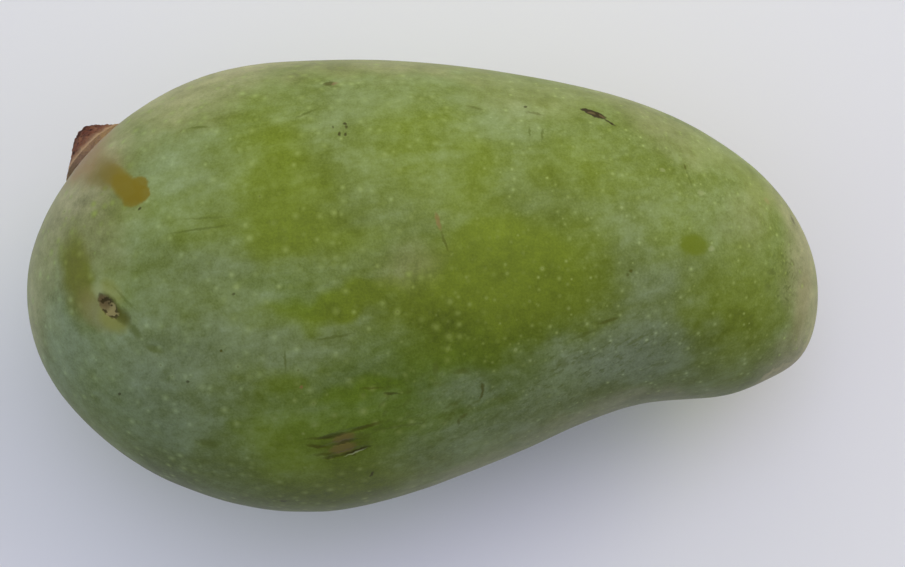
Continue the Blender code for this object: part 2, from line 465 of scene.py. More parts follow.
def makeMango():
    # The surface on a grid of stations and turns, centred, and sunk by the flat spot's depth.
    along = np.linspace(0, np.pi, mango["rings"] + 2)[1:-1]
    around = np.linspace(0, 2 * np.pi, mango["sides"], endpoint=False)
    grid = mangoSurface(along[:, None], around[None, :])
    tips = mangoSurface(np.array([0.0, np.pi]), np.zeros(2))
    lowest = grid[..., 2].min()
    shift = -(grid.reshape(-1, 3).min(axis=0) + grid.reshape(-1, 3).max(axis=0)) / 2
    shift[2] = -lowest - mango["flatSpotDepth"]
    grid = grid + shift
    tips = tips + shift
    # The relief is a sum of ripples that stays below the plain surface, and dents; it dies out at the tips.
    height = ovals(grid, relief["dents"]) - relief["clearance"]
    for wavelength, amount, seed in relief["waves"]:
        height = height + amount * (ripples(grid, wavelength, seed) - 1)
    height *= np.sin(along)[:, None] ** relief["tipFade"]
    grid = grid + gridNormals(grid) * height[..., None]
    grid[..., 2] = np.maximum(grid[..., 2], 0)
    made = closedMesh("mango_skin", grid, tips[0], tips[1])
    points = np.vstack([grid.reshape(-1, 3), tips])
    ragged = brushed(points)
    lower = np.clip((mango["lowerTonesTo"] - points[:, 2]) / mango["tonesFade"], 0, 1)
    for name, table in tones.items():
        amount, wavelength, seed = mango["underside"].get(name, (0, 1, 0))
        values = ovals(ragged, table) + lower * amount * ripples(points, wavelength, seed)
        if name == "haze":
            values += mango["stemRing"] * bell(ragged, stemFoot() + shift, mango["stemRingReach"])
        store(made, name, values)
    return made, shift


def makeStub(shift):
    # A flared stalk: radius = end + (base - end) * (1 - climb)^flare, turned onto its axis at the shoulder.
    s = stub
    turn = np.linspace(0, 2 * np.pi, s["sides"], endpoint=False)
    climb = np.linspace(0, 1, s["rings"])[:, None]
    radius = s["endRadius"] + (s["baseRadius"] - s["endRadius"]) * (1 - climb) ** s["flare"]
    # Ribs run along the stub: a sum of cosines of the turn, times the climb and what they are at the foot.
    # The end is pinched by the climb^10.
    ribs = sum(amount * np.cos(count * turn + phase) for count, amount, phase in s["ribs"])
    radius = radius * (1 + ribs * (s["ribsAtFoot"] + climb)) * (1 - s["endPinch"] * climb**10)
    x = radius * np.cos(turn) + s["endShift"] * climb
    y = radius * np.sin(turn)
    z = climb * s["height"] + s["endSlant"] * x * climb**2
    grid = np.stack([x, y, z], axis=-1)
    lumps = sum(share * ripples(grid * (1, 1, squeeze), wavelength, seed)
                for share, wavelength, squeeze, seed in s["lumpWaves"])
    jags = ripples(grid * (1, 1, 0), *s["splinterWave"]) + np.cos(s["splinterCount"] * turn + 1)
    outwards = np.stack([np.cos(turn), np.sin(turn), np.zeros_like(turn)], axis=-1)
    grid = grid + outwards * (s["lumps"] * lumps * np.minimum(1, 6 * climb))[..., None]
    grid[..., 2] += s["splinters"] * climb**6 * jags
    # The broken end closes with rings that shrink over a low, lumpy dome: height * (1 - (share of rim)^2).
    shrink = np.linspace(*s["endShrink"], s["endRings"])[:, None, None]
    rim = grid[-1:]
    middle = rim.mean(axis=1)
    cap = middle + (rim - middle) * shrink
    inside = 1 - shrink[..., 0] ** 2
    cap[..., 2] += inside * (s["endDome"] + s["endLumps"] * ripples(cap * (1, 1, 0), *s["endLumpWave"]))
    grid = np.concatenate([grid, cap])
    root = np.array([0, 0, -s["root"]])
    end = cap[-1].mean(axis=0)
    axis = stemAxis()
    alongShoulder = np.array([math.sin(s["bearing"]), -math.cos(s["bearing"]), 0])
    turned = np.stack([alongShoulder, np.cross(axis, alongShoulder), axis])
    foot = stemFoot() + shift
    made = closedMesh("stem_stub", foot + grid @ turned, foot + root @ turned, foot + end @ turned)
    local = np.vstack([grid.reshape(-1, 3), root, end])
    store(made, "fibrePlace", local, "FLOAT_VECTOR")
    # Dark bark is left round the broken end's rim, a bell of the climb, and painted shade darkens the two
    # flanks, cos(turn)^24. The bark thins out over the end with the share of the rim^6.
    rimPlace, rimReach = s["rimBark"]
    rimBark = np.exp(-((climb - rimPlace) / rimReach) ** 2) * np.ones(s["sides"])
    paintedFlankShade = s["paintedFlankShade"] * np.cos(turn) ** 24 * np.minimum(1, 4 * climb)
    bark = np.maximum(rimBark, paintedFlankShade)
    capBark = s["endBark"] * shrink[..., 0] ** 6 * np.ones(s["sides"])
    store(made, "bark", np.concatenate([bark.ravel(), capBark.ravel(), [0, s["middleBark"]]]))
    return made


# Shader helpers

def wire(tree, target, source):
    # A socket takes another socket's output, or a plain value.
    if isinstance(source, bpy.types.NodeSocket):
        tree.links.new(source, target)
    else:
        target.default_value = source


def calc(tree, operation, *values, clamp=False):
    node = tree.nodes.new("ShaderNodeMath")
    node.operation = operation
    node.use_clamp = clamp
    for socket, value in zip(node.inputs, values):
        wire(tree, socket, value)
    return node.outputs[0]


def vectorCalc(tree, operation, *values):
    node = tree.nodes.new("ShaderNodeVectorMath")
    node.operation = operation
    for socket, value in zip(node.inputs, values):
        wire(tree, socket, value)
    return node.outputs["Value" if operation == "DOT_PRODUCT" else "Vector"]


def drawnOut(tree, place, bearing, stretch):
    # The place in a frame turned to that bearing and squeezed along it, so a pattern there is drawn out.
    node = tree.nodes.new("ShaderNodeMapping")
    node.vector_type = "TEXTURE"
    wire(tree, node.inputs["Vector"], place)
    node.inputs["Rotation"].default_value = (0, 0, math.radians(bearing))
    node.inputs["Scale"].default_value = (stretch, 1, 1)
    return node.outputs[0]


def noise(tree, place, size, detail, roughness, output="Fac"):
    # Noise whose features are about that many millimetres across.
    node = tree.nodes.new("ShaderNodeTexNoise")
    wire(tree, node.inputs["Vector"], place)
    node.inputs["Scale"].default_value = 1 / size
    node.inputs["Detail"].default_value = detail
    node.inputs["Roughness"].default_value = roughness
    return node.outputs[output]


def ramp(tree, value, low, high):
    # A smooth step from 0 to 1 between the two limits, which may run backwards.
    node = tree.nodes.new("ShaderNodeMapRange")
    node.interpolation_type = "SMOOTHSTEP"
    for socket, given in zip(node.inputs, (value, low, high)):
        wire(tree, socket, given)
    return node.outputs[0]


def blend(tree, factor, first, second, how="MIX"):
    node = tree.nodes.new("ShaderNodeMix")
    node.data_type = "RGBA"
    node.blend_type = how
    sockets = [node.inputs["Factor"]] + [s for s in node.inputs if s.type == "RGBA"]
    for socket, value in zip(sockets, (factor, first, second)):
        if isinstance(value, tuple):
            value = (*value, 1)
        wire(tree, socket, value)
    return [s for s in node.outputs if s.type == "RGBA"][0]


def tone(tree, level):
    # One number as a grey colour, for multiplying another colour by it.
    node = tree.nodes.new("ShaderNodeCombineXYZ")
    for socket in node.inputs:
        wire(tree, socket, level)
    return node.outputs[0]


def component(tree, vector, name):
    node = tree.nodes.new("ShaderNodeSeparateXYZ")
    wire(tree, node.inputs[0], vector)
    return node.outputs[name]


def bumped(tree, shader, height, strength, distance):
    bump = tree.nodes.new("ShaderNodeBump")
    bump.inputs["Strength"].default_value = strength
    bump.inputs["Distance"].default_value = distance * mm
    wire(tree, bump.inputs["Height"], height)
    wire(tree, shader.inputs["Normal"], bump.outputs[0])


def newMaterial(name):
    material = bpy.data.materials.new(name)
    material.use_nodes = True
    tree = material.node_tree
    return material, tree, tree.nodes["Principled BSDF"]


def newGroup(name, vectors, numbers, outputs):
    # A group that takes vectors and numbers by name, and puts numbers out.
    tree = bpy.data.node_groups.new(name, "ShaderNodeTree")
    for label in vectors:
        tree.interface.new_socket(label, in_out="INPUT", socket_type="NodeSocketVector")
    for label in numbers:
        tree.interface.new_socket(label, in_out="INPUT", socket_type="NodeSocketFloat")
    for label in outputs:
        tree.interface.new_socket(label, in_out="OUTPUT", socket_type="NodeSocketFloat")
    return tree, tree.nodes.new("NodeGroupInput").outputs, tree.nodes.new("NodeGroupOutput").inputs


def useGroup(tree, group, **values):
    node = tree.nodes.new("ShaderNodeGroup")
    node.node_tree = group
    for label, value in values.items():
        wire(tree, node.inputs[label], value)
    return node.outputs


def readMap(tree, name, output="Fac"):
    # The value that the piece's own points carry under that name.
    node = tree.nodes.new("ShaderNodeAttribute")
    node.attribute_name = name
    return node.outputs[output]


markDepth = 10.0  # how far below and above its place a mark reaches


def markGroup():
    # An oval mark: 1 in its middle, falling to 0 at its rim. Ahead and Beside are its two axes, each over
    # its length, and Core is how far out the middle goes.
    vectors = ("Place", "Centre", "Ahead", "Beside")
    tree, given, out = newGroup("oval mark", vectors, ("Core",), ("Mask",))
    apart = vectorCalc(tree, "SUBTRACT", given["Place"], given["Centre"])
    forward = vectorCalc(tree, "DOT_PRODUCT", apart, given["Ahead"])
    sideways = vectorCalc(tree, "DOT_PRODUCT", apart, given["Beside"])
    depth = vectorCalc(tree, "DOT_PRODUCT", apart, (0.0, 0.0, 1 / markDepth))
    own = tree.nodes.new("ShaderNodeCombineXYZ")
    for socket, value in zip(own.inputs, (forward, sideways, depth)):
        wire(tree, socket, value)
    reach = vectorCalc(tree, "DOT_PRODUCT", own.outputs[0], own.outputs[0])
    wire(tree, out["Mask"], ramp(tree, reach, 1.0, given["Core"]))
    return tree


pore = {
    "size": (0.9, 0.55),  # spread and least, times the radius given
    "strength": (0.75, 0.3),  # spread and least
    "strengthPower": 1.4,
    "halo": (1.0, 0.1),  # where each part ends and where it is full, in radii
    "core": (0.5, 0.15),
    "pinhole": (0.26, 0.1),
    "rare": (0.86, 0.88),  # only draws above this have a pinhole
}


def lenticelGroup():
    # Pores at the points of a cell pattern: a wide pale halo, a small core, and in a few a dark pinhole.
    outputs = ("Halo", "Core", "Pinhole")
    tree, given, out = newGroup("lenticels", ("Place",), ("Spacing", "Radius"), outputs)
    density = calc(tree, "DIVIDE", 1.0, given["Spacing"])
    cells = tree.nodes.new("ShaderNodeTexVoronoi")
    wire(tree, cells.inputs["Vector"], given["Place"])
    wire(tree, cells.inputs["Scale"], density)
    draw = tree.nodes.new("ShaderNodeSeparateColor")
    wire(tree, draw.inputs[0], cells.outputs["Color"])
    off = calc(tree, "MULTIPLY", cells.outputs["Distance"], given["Spacing"])
    size = calc(tree, "MULTIPLY_ADD", draw.outputs["Red"], *pore["size"])
    radius = calc(tree, "MULTIPLY", given["Radius"], size)
    reach = calc(tree, "DIVIDE", off, radius)
    strength = calc(tree, "POWER", draw.outputs["Green"], pore["strengthPower"])
    strength = calc(tree, "MULTIPLY_ADD", strength, *pore["strength"])
    wire(tree, out["Halo"], calc(tree, "MULTIPLY", ramp(tree, reach, *pore["halo"]), strength))
    wire(tree, out["Core"], calc(tree, "MULTIPLY", ramp(tree, reach, *pore["core"]), strength))
    rare = ramp(tree, draw.outputs["Blue"], *pore["rare"])
    wire(tree, out["Pinhole"], calc(tree, "MULTIPLY", ramp(tree, reach, *pore["pinhole"]), rare))
    return tree


grains = {  # size, detail, roughness
    "Cloudy": (6.0, 2.0, 0.55),
    "Coarse": (1.8, 2.0, 0.6),
    "Fine": (0.35, 1.0, 0.6),
}


def grainGroup():
    # The unevenness of a natural surface: noise of three sizes, each about 0 to 1.
    tree, given, out = newGroup("natural grain", ("Place",), (), grains)
    for name, texture in grains.items():
        wire(tree, out[name], noise(tree, given["Place"], *texture))
    return tree


ovalMark = markGroup()
lenticels = lenticelGroup()
grain = grainGroup()


# The skin. Marks are placed by x and y in millimetres, seen from above.

skin = {
    "bareColour": (0.123, 0.165, 0.012),
    # greener hue of bare skin, painted shade
    "greenerInShadeColour": (0.107, 0.166, 0.012),
    "bloomColour": (0.183, 0.227, 0.125),
    # beige of the russet, also used as painted sheen along the edges
    "russetAndSheenColour": (0.274, 0.267, 0.143),
    "hazeColour": (0.235, 0.165, 0.070),
    "bareHalo": (0.214, 0.272, 0.050),  # of the lenticels, on bare skin and on bloom
    "bloomHalo": (0.290, 0.368, 0.190),
    "bareCore": (0.295, 0.362, 0.090),
    "bloomCore": (0.400, 0.480, 0.270),
    "streaks": {"bearing": 12, "stretch": 3.6, "size": 2.4, "roughness": 0.6},
    "bloomLevel": 0.22,
    "bloomGrain": (("Streaks", 0.5), ("Cloudy", 0.5), ("Coarse", 0.42), ("Fine", 0.15)),
    "bloomLimits": (-0.22, 1.1),
    "russetAndSheenGrain": (("Coarse", 0.5), ("Cloudy", 0.5)),
    "brightness": 1.02,
    "shadeGrain": (("Cloudy", 0.52), ("Coarse", 0.52), ("Fine", 0.46), ("Streaks", 0.28)),
    "largeDots": {"Spacing": 1.9, "Radius": 0.8},
    "smallDots": {"Spacing": 1.4, "Radius": 0.52},
    "dotChange": (-12.0, 20.0),  # x where the large ones end and the small ones take over
    "haloShare": (-0.35, 0.76),  # times the bloom, and without it
    "coreShare": (0.3, 0.3),  # times how far towards the beak, and before that
    "pinholeShare": 0.4,
    "pits": {"bearing": 35, "stretch": 2.2, "size": 0.9, "roughness": 0.65},
    "pitLimits": (0.53, 0.68),
    "pitShare": 0.6,
    "filmGrain": (0.5, 0.75),
    "fraySize": 0.8,
    "fray": (0.45, 0.45, 0.0),
    "coarseBump": 0.25,
    "fineBump": 0.1,
    "grooveDepth": -0.8,
    "bumpStrength": 0.5,
    "bumpDistance": 0.3,
    "roughness": 0.5,
    "bloomRoughness": 0.14,
    "grainRoughness": 0.1,
    "specular": 0.10,
    "sheen": 0.10,
    "sheenRoughness": 0.45,
    "sheenTint": (1.0, 0.86, 0.88),
}

inks = {
    "olive": (0.062, 0.064, 0.002),
    "green": (0.085, 0.110, 0.014),
    "bark": (0.030, 0.021, 0.002),
    "umber": (0.115, 0.082, 0.030),
    "brown": (0.150, 0.122, 0.026),
    "russet": (0.225, 0.160, 0.075),
    "rust": (0.250, 0.135, 0.050),
    "ochre": (0.176, 0.134, 0.0075),
    "straw": (0.235, 0.245, 0.050),
    "cream": (0.250, 0.212, 0.080),
    "beige": (0.420, 0.385, 0.190),
    "pale": (0.330, 0.370, 0.170),
    "rubbed": (0.124, 0.165, 0.005),
}

spots = (  # x, y, half length, half width, bearing, softness, ink, strength
    # sap that ran down from the stem and dried
    (-50.6, 16.6, 4.6, 1.9, -12, 0.9, "brown", 0.7),
    (-49.4, 17.6, 3.2, 2.0, -35, 0.8, "ochre", 0.7),
    (-48.0, 17.5, 2.9, 1.6, -30, 0.7, "ochre", 0.7),
    (-50.6, 18.4, 3.6, 2.6, -35, 1.0, "brown", 0.5),
    (-46.3, 15.2, 4.0, 2.3, -38, 0.45, "ochre", 0.95),
    (-44.2, 15.9, 1.6, 1.3, 0, 0.35, "ochre", 0.9),
    (-43.7, 14.3, 1.5, 1.5, 0, 0.3, "ochre", 0.9),
    (-45.2, 13.2, 2.0, 1.2, 10, 0.4, "ochre", 0.8),
    (-43.9, 11.9, 0.5, 0.22, 40, 0.7, "bark", 0.8),
    # brownish patch beside the corky scar
    (-54.0, 1.5, 9.0, 4.2, 100, 1.0, "brown", 0.4),
    # corky scar's yellow halo, a painted highlight, dark rim and olive tail
    (-50.6, -3.6, 5.2, 3.5, -45, 1.0, "cream", 0.45),
    # pale spot on top of the cork, a painted highlight
    (-49.9, -0.8, 2.6, 1.6, -40, 1.0, "pale", 0.5),
    (-48.0, -5.2, 3.6, 2.3, -30, 1.0, "straw", 0.75),
    (-48.2, -0.8, 3.2, 1.8, -50, 1.0, "straw", 0.5),
    (-48.5, -3.0, 2.9, 1.6, -50, 0.6, "olive", 0.8),
    (-49.9, -1.7, 1.0, 0.5, -60, 0.6, "bark", 0.6),
    (-46.4, -4.6, 2.1, 1.4, -45, 1.0, "olive", 0.75),
    (-44.5, -6.9, 1.9, 0.9, -50, 1.0, "green", 0.6),
    # grazed fill between the scratches
    (-12.5, -24.6, 5.2, 2.6, 16, 1.0, "olive", 0.45),
    (-12.7, -23.5, 2.4, 0.9, 17, 0.7, "brown", 0.9),
    (-12.9, -25.2, 2.7, 1.1, 16, 0.6, "brown", 0.9),
    # lens-shaped scars
    (27.0, 27.5, 2.1, 0.58, -21, 0.25, "bark", 1.0),
    (26.4, 27.66, 0.8, 0.26, -16, 0.7, "umber", 0.8),
    (28.1, 27.12, 0.7, 0.24, -28, 0.7, "umber", 0.8),
    (25.3, 28.2, 0.9, 0.34, -8, 0.4, "bark", 1.0),
    (-15.4, 32.1, 1.2, 0.4, 8, 0.6, "olive", 0.8),
    (-14.5, 32.2, 0.8, 0.3, 20, 0.7, "russet", 0.6),
    # soft dents, darkened with green ink: painted shade in the dents
    (-41.5, -9.6, 2.0, 0.75, -15, 0.9, "green", 0.6),
    (-34.0, -24.4, 2.2, 0.75, -10, 1.0, "green", 0.5),
    (5.6, -13.2, 1.8, 0.6, 5, 1.0, "green", 0.6),
    (21.4, -12.0, 1.4, 1.1, 0, 1.0, "green", 0.5),
    (1.6, -12.6, 0.6, 1.5, 0, 1.0, "green", 0.5),
    # rubbed spot near the beak, and what lies beside it
    (42.2, 6.5, 3.0, 2.1, -8, 0.5, "rubbed", 0.8),
    (41.0, 6.0, 1.9, 2.0, 0, 0.8, "rubbed", 0.5),
    (45.1, 5.9, 0.7, 0.6, 0, 1.0, "pale", 0.5),
    (37.4, 18.4, 0.7, 0.45, -20, 1.0, "pale", 0.4),
    (43.7, 14.8, 0.7, 0.5, 0, 1.0, "pale", 0.4),
    (55.5, 13.9, 0.9, 0.45, -50, 0.9, "cream", 0.5),
    # beak
    (58.2, -14.9, 4.6, 1.3, 27, 1.0, "beige", 0.3),
    (56.4, -14.9, 1.3, 0.5, 38, 0.8, "beige", 0.55),
    (57.2, -14.2, 0.9, 0.4, 60, 0.8, "beige", 0.55),
    (58.2, -13.9, 1.1, 0.45, 20, 0.8, "beige", 0.55),
    (58.9, -13.2, 0.8, 0.35, 55, 0.8, "beige", 0.5),
    (59.8, -13.1, 1.0, 0.4, 25, 0.8, "beige", 0.45),
    (61.6, -3.0, 8.0, 2.0, 80, 1.0, "russet", 0.2),
    (61.4, -14.5, 4.4, 1.8, 55, 1.0, "russet", 0.3),
    # specks
    (15.8, 28.5, 0.36, 0.3, 0, 0.8, "bark", 0.8),
    (-12.6, 25.2, 0.4, 0.32, 0, 0.8, "bark", 0.8),
    (-12.3, 24.7, 0.32, 0.4, 0, 0.8, "bark", 0.7),
    (-13.3, 23.5, 0.28, 0.46, 10, 0.8, "bark", 0.8),
    (-12.4, 23.5, 0.3, 0.5, -15, 0.8, "bark", 0.8),
    (-14.4, 24.7, 0.28, 0.26, 0, 0.8, "bark", 0.6),
    (32.0, 2.4, 0.5, 0.34, 40, 0.8, "olive", 0.7),
    (31.5, 1.7, 0.36, 0.36, 0, 0.8, "olive", 0.6),
    (-31.0, -9.9, 0.36, 0.32, 0, 0.8, "olive", 0.9),
    (-36.4, -14.7, 0.34, 0.32, 0, 0.8, "bark", 0.7),
    (-47.6, -16.8, 0.38, 0.32, 0, 0.8, "bark", 0.7),
    (-29.0, -1.2, 0.3, 0.3, 0, 0.8, "bark", 0.6),
    (-18.9, -15.4, 0.34, 0.34, 0, 0.8, "rust", 0.7),
    (-11.2, -26.3, 0.55, 0.34, 10, 0.8, "olive", 0.7),
    (-8.6, -29.7, 0.75, 0.3, 55, 0.8, "bark", 0.7),
    (-23.0, -34.6, 0.7, 0.3, 0, 0.8, "bark", 0.6),
)

strokes = (  # from x, y to x, y, half width, ink, strength
    (-19.3, -23.6, -13.5, -23.4, 0.35, "olive", 0.55),
    (-17.2, -23.9, -11.6, -22.5, 0.5, "bark", 0.6),
    (-13.0, -22.9, -5.8, -20.7, 0.4, "olive", 0.75),
    (-19.0, -24.6, -14.6, -25.1, 0.38, "olive", 0.8),
    (-15.6, -25.1, -10.2, -23.5, 0.36, "bark", 0.5),
    (-17.9, -26.3, -13.6, -26.1, 0.34, "olive", 0.6),
    (-16.6, -27.0, -12.6, -26.3, 0.34, "bark", 0.55),
    (-13.8, -26.6, -7.8, -24.7, 0.32, "bark", 0.8),
    # pale line along the scratches' lower lip, a painted highlight
    (-13.2, -26.8, -8.8, -25.1, 0.16, "pale", 0.7),
    (-9.8, -22.6, 2.0, -20.9, 0.26, "green", 0.5),
    (28.0, 27.0, 30.6, 25.2, 0.2, "bark", 1.0),
    (16.3, 25.2, 16.3, 23.2, 0.26, "green", 0.6),
    (18.4, 25.1, 18.2, 22.7, 0.28, "green", 0.65),
    (1.5, 11.6, 2.4, 8.2, 0.46, "rust", 0.55),
    (2.2, 8.9, 3.7, 5.0, 0.3, "olive", 0.55),
    (-40.3, 7.9, -28.0, 9.5, 0.26, "green", 0.55),
    (-38.8, 10.1, -27.6, 10.7, 0.22, "green", 0.35),
    (-37.5, 24.7, -33.2, 24.8, 0.28, "green", 0.65),
    (-20.6, 26.0, -16.6, 27.9, 0.28, "green", 0.7),
    (-17.5, -8.4, -10.0, -7.0, 0.28, "green", 0.65),
    (-21.4, -9.4, -21.2, -13.2, 0.26, "green", 0.6),
    (8.7, -14.7, 9.0, -16.8, 0.38, "olive", 0.75),
    (9.1, -16.0, 8.3, -17.9, 0.32, "olive", 0.7),
    (5.0, -20.8, 6.8, -19.8, 0.34, "olive", 0.55),
    (5.1, -22.1, 5.1, -20.5, 0.3, "olive", 0.55),
    (-6.8, -16.5, -3.6, -16.5, 0.3, "bark", 0.6),
    (-10.6, -15.7, -6.0, -15.6, 0.28, "olive", 0.5),
    (26.4, -6.0, 30.6, -4.8, 0.34, "olive", 0.55),
    (22.0, -8.6, 27.2, -6.6, 0.36, "green", 0.55),
    (30.8, -9.8, 36.0, -7.0, 0.36, "green", 0.55),
    (-48.6, 0.6, -43.6, -4.4, 0.3, "green", 0.35),
    (60.0, 12.0, 61.1, 9.8, 0.3, "bark", 0.6),
    (59.3, 4.6, 60.2, 3.1, 0.22, "olive", 0.45),
    (60.0, 2.6, 59.2, 0.9, 0.2, "olive", 0.45),
    (59.4, 0.4, 58.2, -1.0, 0.22, "olive", 0.5),
    (58.0, -1.6, 59.0, -2.6, 0.2, "olive", 0.45),
    (41.1, 19.6, 41.4, 18.4, 0.28, "olive", 0.7),
    (41.3, 18.8, 42.3, 15.4, 0.24, "green", 0.5),
    (15.1, 27.7, 19.2, 27.0, 0.26, "olive", 0.45),
    (6.0, 28.5, 9.2, 27.8, 0.24, "olive", 0.4),
)

scar = {  # ovals as in spots, without ink and strength
    "cork": (-48.8, -3.15, 2.55, 1.3, -50, 0.3),
    "upperEnd": (-49.7, -2.1, 2.3, 1.6, -50, 1.0),
    "crumbSize": 1.25,
    "crumbRoughness": 0.65,
    "crackLimits": (0.5, 0.58),
    "crackShare": 0.9,
    "depth": -0.9,
}

grooves = (  # scratches that catch the light: from x, y to x, y, half width
    (-17.6, -24.0, -8.0, -21.6, 0.6),
    (-16.8, -25.2, -10.0, -23.6, 0.5),
    (-16.2, -27.0, -8.2, -24.8, 0.6),
)


def onSkin(body, x, y):
    # The place on the upper skin above x and y: the nearest point of the mesh that looks up.
    upper = body[body[:, 2] > 25]
    nearest = upper[np.argmin((upper[:, 0] - x) ** 2 + (upper[:, 1] - y) ** 2)]
    return (x, y, float(nearest[2]))


def drawMark(tree, place, centre, long, wide, turn, soft):
    # The oval's two axes, each over its half length; the softer the mark, the smaller its core.
    ahead = (math.cos(turn) / long, math.sin(turn) / long, 0.0)
    beside = (-math.sin(turn) / wide, math.cos(turn) / wide, 0.0)
    core = (1 - soft) ** 2
    mark = useGroup(tree, ovalMark, Place=place, Centre=centre, Ahead=ahead, Beside=beside, Core=core)
    return mark["Mask"]


def drawOval(tree, place, body, x, y, long, wide, bearing, soft):
    return drawMark(tree, place, onSkin(body, x, y), long, wide, math.radians(bearing), soft)


def drawStroke(tree, place, body, x0, y0, x1, y1, width):
    # A stroke is a long, narrow, soft oval between its two ends.
    turn = math.atan2(y1 - y0, x1 - x0)
    long = math.hypot(x1 - x0, y1 - y0) / 2
    return drawMark(tree, place, onSkin(body, (x0 + x1) / 2, (y0 + y1) / 2), long, width, turn, 1.0)


def roughened(tree, value, patterns, amounts):
    # Each pattern is added times its amount, less half the amount, so that the mean stays.
    for name, amount in amounts:
        value = calc(tree, "ADD", value, calc(tree, "MULTIPLY_ADD", patterns[name], amount, -amount / 2))
    return value


def drawnNoise(tree, place, bearing, stretch, size, roughness):
    # Noise whose features are drawn out along a bearing.
    return noise(tree, drawnOut(tree, place, bearing, stretch), size, 2.0, roughness)


def inked(tree, colour, mask, strength, ink):
    # The ink laid over the colour by the mask times the strength.
    return blend(tree, calc(tree, "MULTIPLY", mask, strength), colour, inks[ink])


def makeSkin(body):
    material, tree, shader = newMaterial("mango skin")
    coordinates = tree.nodes.new("ShaderNodeTexCoord").outputs["Object"]
    place = vectorCalc(tree, "MULTIPLY", coordinates, (1 / mm, 1 / mm, 1 / mm))
    uneven = useGroup(tree, grain, Place=place)

    # The bloom is the stored tone with streaks, clouds and mottling; its edges fray with the noise.
    patterns = {name: uneven[name] for name in grains}
    patterns["Streaks"] = drawnNoise(tree, place, **skin["streaks"])
    bloom = calc(tree, "ADD", readMap(tree, "bloom"), skin["bloomLevel"])
    bloom = ramp(tree, roughened(tree, bloom, patterns, skin["bloomGrain"]), *skin["bloomLimits"])
    # bare skin turns greener where this map says: painted shade on the lower side
    bare = blend(tree, readMap(tree, "greenerInShade"), skin["bareColour"], skin["greenerInShadeColour"])
    colour = blend(tree, bloom, bare, skin["bloomColour"])

    # The russet lies over it, thicker where the noise is high; along the edges it also stands for painted
    # sheen.
    thickness = roughened(tree, 1.0, patterns, skin["russetAndSheenGrain"])
    russetAndSheen = calc(tree, "MULTIPLY", readMap(tree, "russetAndSheen"), thickness, clamp=True)
    colour = blend(tree, russetAndSheen, colour, skin["russetAndSheenColour"])

    # Lighter and darker skin: random tone, with painted light along the top edge and painted shade along
    # the lower edge.
    level = calc(tree, "ADD", readMap(tree, "shade"), skin["brightness"])
    level = roughened(tree, level, patterns, skin["shadeGrain"])
    colour = blend(tree, 1.0, colour, tone(tree, level), "MULTIPLY")

    # Lenticels: larger and further apart towards the stem, small and close towards the beak.
    towardsBeak = ramp(tree, component(tree, place, "X"), *skin["dotChange"])
    large = useGroup(tree, lenticels, Place=place, **skin["largeDots"])
    small = useGroup(tree, lenticels, Place=place, **skin["smallDots"])
    dots = []
    for part in ("Halo", "Core", "Pinhole"):
        both = tree.nodes.new("ShaderNodeMix")
        wire(tree, both.inputs[0], towardsBeak)
        wire(tree, both.inputs[2], large[part])
        wire(tree, both.inputs[3], small[part])
        dots.append(both.outputs[0])
    halo, core, pinhole = dots
    haloColour = blend(tree, bloom, skin["bareHalo"], skin["bloomHalo"])
    haloShare = calc(tree, "MULTIPLY_ADD", bloom, *skin["haloShare"])
    colour = blend(tree, calc(tree, "MULTIPLY", halo, haloShare), colour, haloColour)
    coreColour = blend(tree, bloom, skin["bareCore"], skin["bloomCore"])
    coreShare = calc(tree, "MULTIPLY_ADD", towardsBeak, *skin["coreShare"])
    colour = blend(tree, calc(tree, "MULTIPLY", core, coreShare), colour, coreColour)
    colour = inked(tree, colour, pinhole, skin["pinholeShare"], "olive")

    # Small dark pits where the skin is rough.
    pits = ramp(tree, drawnNoise(tree, place, **skin["pits"]), *skin["pitLimits"])
    pits = calc(tree, "MULTIPLY", pits, readMap(tree, "rough"), clamp=True)
    colour = inked(tree, colour, pits, skin["pitShare"], "green")

    # The brown film round the stem.
    film = readMap(tree, "haze")
    patchy = calc(tree, "MULTIPLY_ADD", uneven["Coarse"], *skin["filmGrain"])
    film = calc(tree, "MULTIPLY", film, patchy, clamp=True)
    colour = blend(tree, film, colour, skin["hazeColour"])

    # Marks one by one, with slightly frayed edges.
    fray = noise(tree, place, skin["fraySize"], 1.0, 0.6, "Color")
    fray = vectorCalc(tree, "SUBTRACT", fray, (0.5, 0.5, 0.5))
    frayed = vectorCalc(tree, "ADD", place, vectorCalc(tree, "MULTIPLY", fray, skin["fray"]))
    for *oval, ink, strength in spots:
        colour = inked(tree, colour, drawOval(tree, frayed, body, *oval), strength, ink)
    for *stroke, ink, strength in strokes:
        colour = inked(tree, colour, drawStroke(tree, frayed, body, *stroke), strength, ink)

    # The corky scar: cream cork split by dark cracks, reddish brown towards its upper end.
    cork = drawOval(tree, frayed, body, *scar["cork"])
    crumbs = noise(tree, frayed, scar["crumbSize"], 2.0, scar["crumbRoughness"])
    upperEnd = drawOval(tree, frayed, body, *scar["upperEnd"])
    scab = blend(tree, upperEnd, inks["cream"], inks["umber"])
    scab = inked(tree, scab, ramp(tree, crumbs, *scar["crackLimits"]), scar["crackShare"], "bark")
    colour = blend(tree, cork, colour, scab)
    wire(tree, shader.inputs["Base Color"], colour)

    # The scar's crumbs and the scratches are sunk, and the grain stands up.
    height = calc(tree, "MULTIPLY", calc(tree, "MULTIPLY", cork, crumbs), scar["depth"])
    for groove in grooves:
        sunk = drawStroke(tree, frayed, body, *groove)
        height = calc(tree, "MULTIPLY_ADD", sunk, skin["grooveDepth"], height)
    height = calc(tree, "MULTIPLY_ADD", uneven["Coarse"], skin["coarseBump"], height)
    height = calc(tree, "MULTIPLY_ADD", uneven["Fine"], skin["fineBump"], height)
    bumped(tree, shader, height, skin["bumpStrength"], skin["bumpDistance"])

